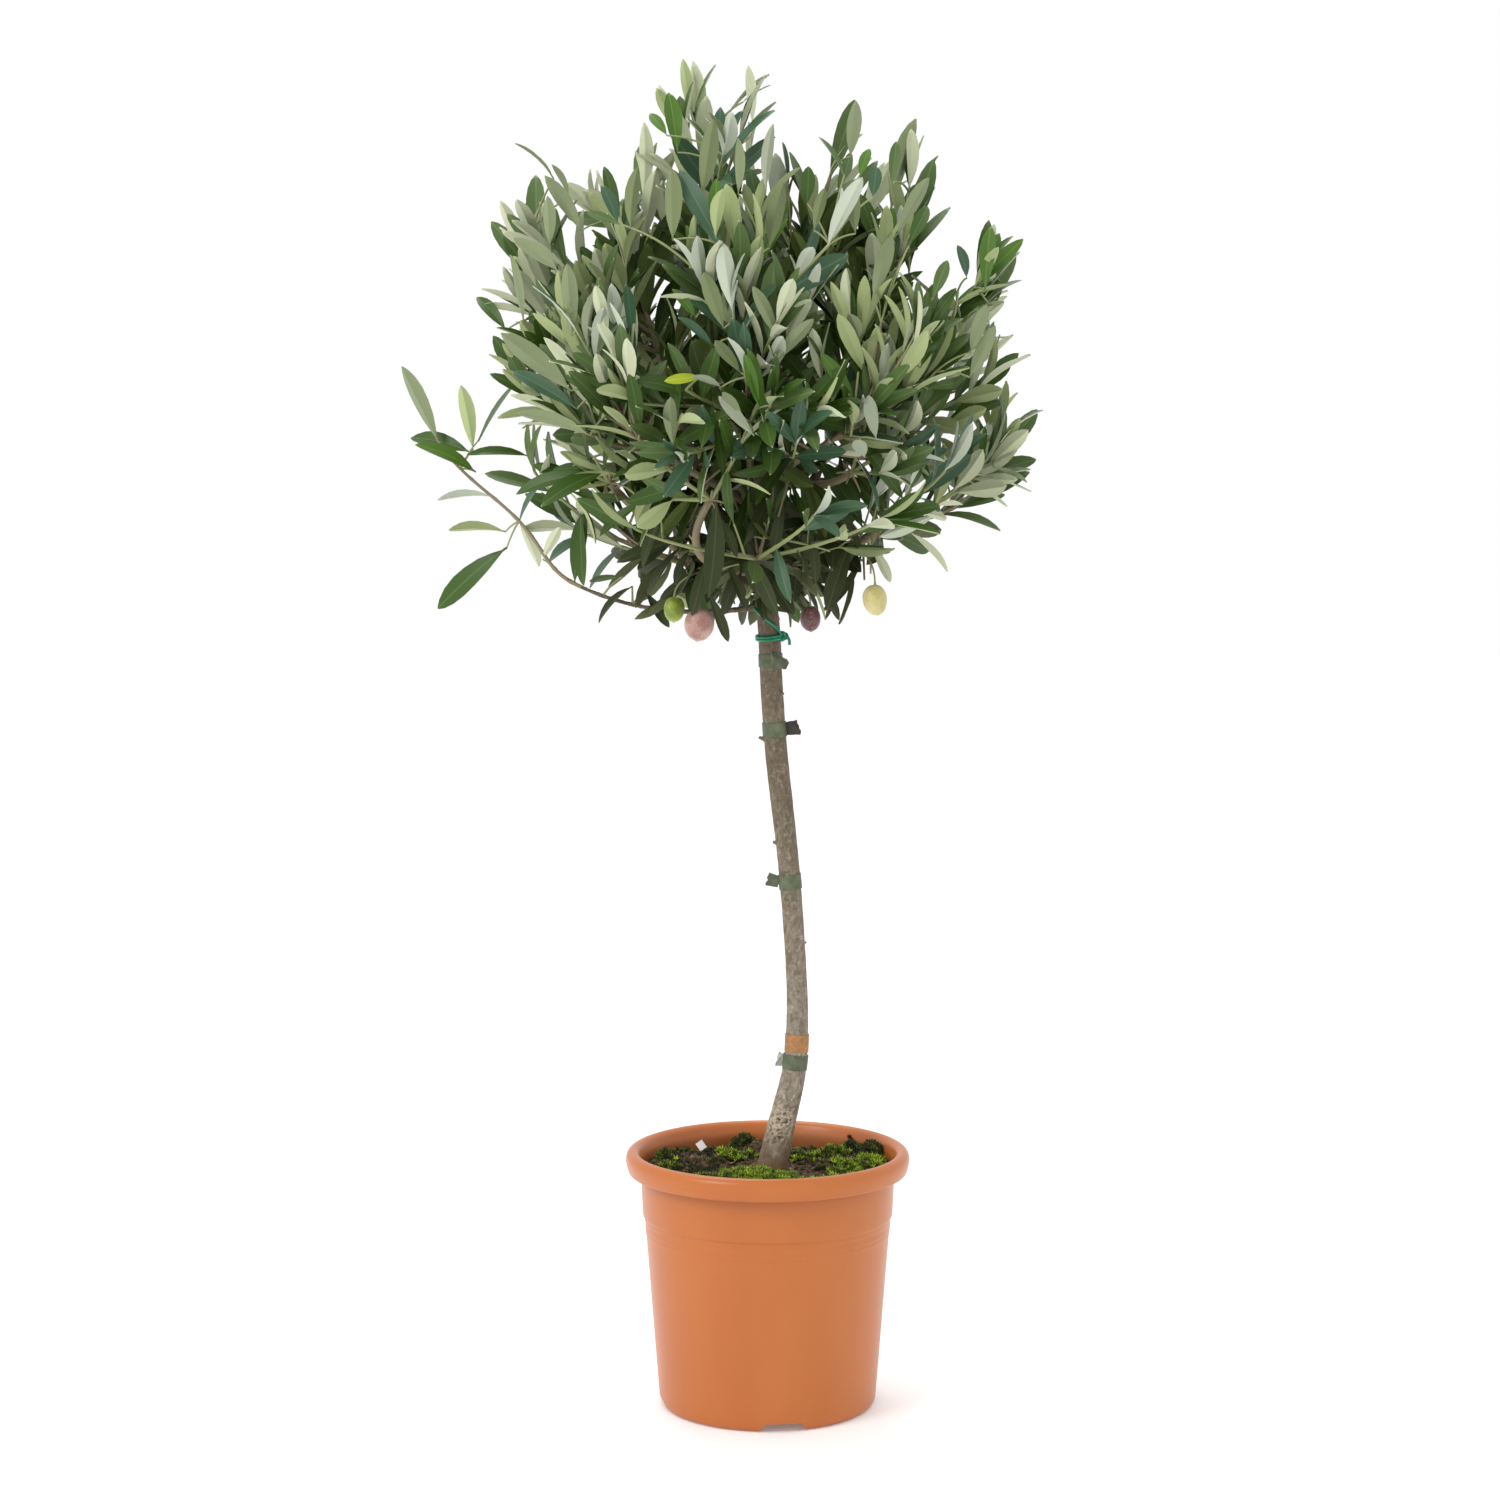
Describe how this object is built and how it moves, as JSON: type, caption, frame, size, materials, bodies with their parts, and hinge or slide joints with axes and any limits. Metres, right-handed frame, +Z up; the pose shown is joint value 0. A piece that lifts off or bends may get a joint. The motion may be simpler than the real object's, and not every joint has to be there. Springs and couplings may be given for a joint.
{
  "type": "potted olive tree",
  "caption": "Young standard olive tree in a round moulded pot: slender bent trunk under a loose rounded crown of narrow grey-green leaves, for a patio, hall or terrace.",
  "frame": {"origin": "centre of the pot's flat underside, on the ground", "axes": "+Z up along the tree, -Y the front, +X to the right seen from the front"},
  "size_m": [0.5266, 0.4568, 1.1216],
  "materials": {
    "pot": "satin moulded plastic",
    "soil": "moist crumbly compost",
    "bark": "young grey-brown bark",
    "foliage": "leathery leaf",
    "tape": "soft weathered tape",
    "marker": "dull plastic tape",
    "twine": "smooth twine"
  },
  "bodies": {
    "root": {"pot": "pot", "soil": "soil", "trunk": "bark", "tie_band_1": "tape", "tie_band_2": "tape", "tie_band_3": "tape", "tie_band_4": "tape", "marker_band": "marker", "twine_loop": "twine", "bough_top_centre": "bark", "foliage_top_centre": "foliage", "bough_left_high": "bark", "foliage_left_high": "foliage", "bough_right_high": "bark", "foliage_right_high": "foliage", "bough_front_high": "bark", "foliage_front_high": "foliage", "bough_back_high": "bark", "foliage_back_high": "foliage", "bough_right_low": "bark", "foliage_right_low": "foliage", "bough_left_low": "bark", "foliage_left_low": "foliage", "bough_front_low": "bark", "foliage_front_low": "foliage", "bough_back_low": "bark", "foliage_back_low": "foliage", "bough_left_spray": "bark", "foliage_left_spray": "foliage", "bough_top_right": "bark", "foliage_top_right": "foliage", "bough_upper_right": "bark", "foliage_upper_right": "foliage", "bough_upper_left": "bark", "foliage_upper_left": "foliage", "bough_front_left": "bark", "foliage_front_left": "foliage", "bough_front_right": "bark", "foliage_front_right": "foliage", "bough_back_left": "bark", "foliage_back_left": "foliage", "bough_back_right": "bark", "foliage_back_right": "foliage"}
  },
  "joints": []
}
